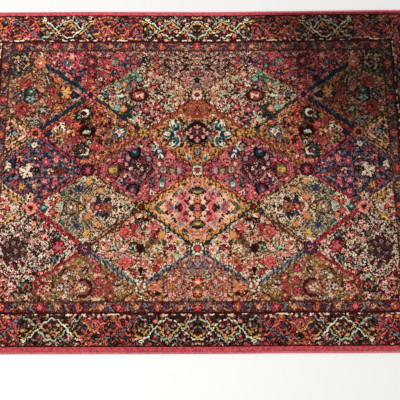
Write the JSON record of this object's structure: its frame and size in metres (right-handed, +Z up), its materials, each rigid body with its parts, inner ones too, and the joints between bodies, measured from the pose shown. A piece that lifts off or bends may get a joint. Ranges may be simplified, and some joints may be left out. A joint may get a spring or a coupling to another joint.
{
  "type": "kirman rug",
  "caption": "Rectangular pile rug lying flat, with a panelled lozenge garden pattern inside floral borders and overcast yarn edges.",
  "frame": {"origin": "centre of the rug's outline on the surface that it lies on", "axes": "+X along the rug's length, +Y across it towards the far long edge, +Z up out of the pile"},
  "size_m": [1.82, 1.3343, 0.009],
  "materials": {
    "woven_pile": "matte",
    "edge_yarn": "matte"
  },
  "bodies": {
    "root": {"rug_body": "woven_pile", "edge_binding_far": "edge_yarn", "edge_binding_left": "edge_yarn", "edge_binding_near": "edge_yarn", "edge_binding_right": "edge_yarn"}
  },
  "joints": []
}
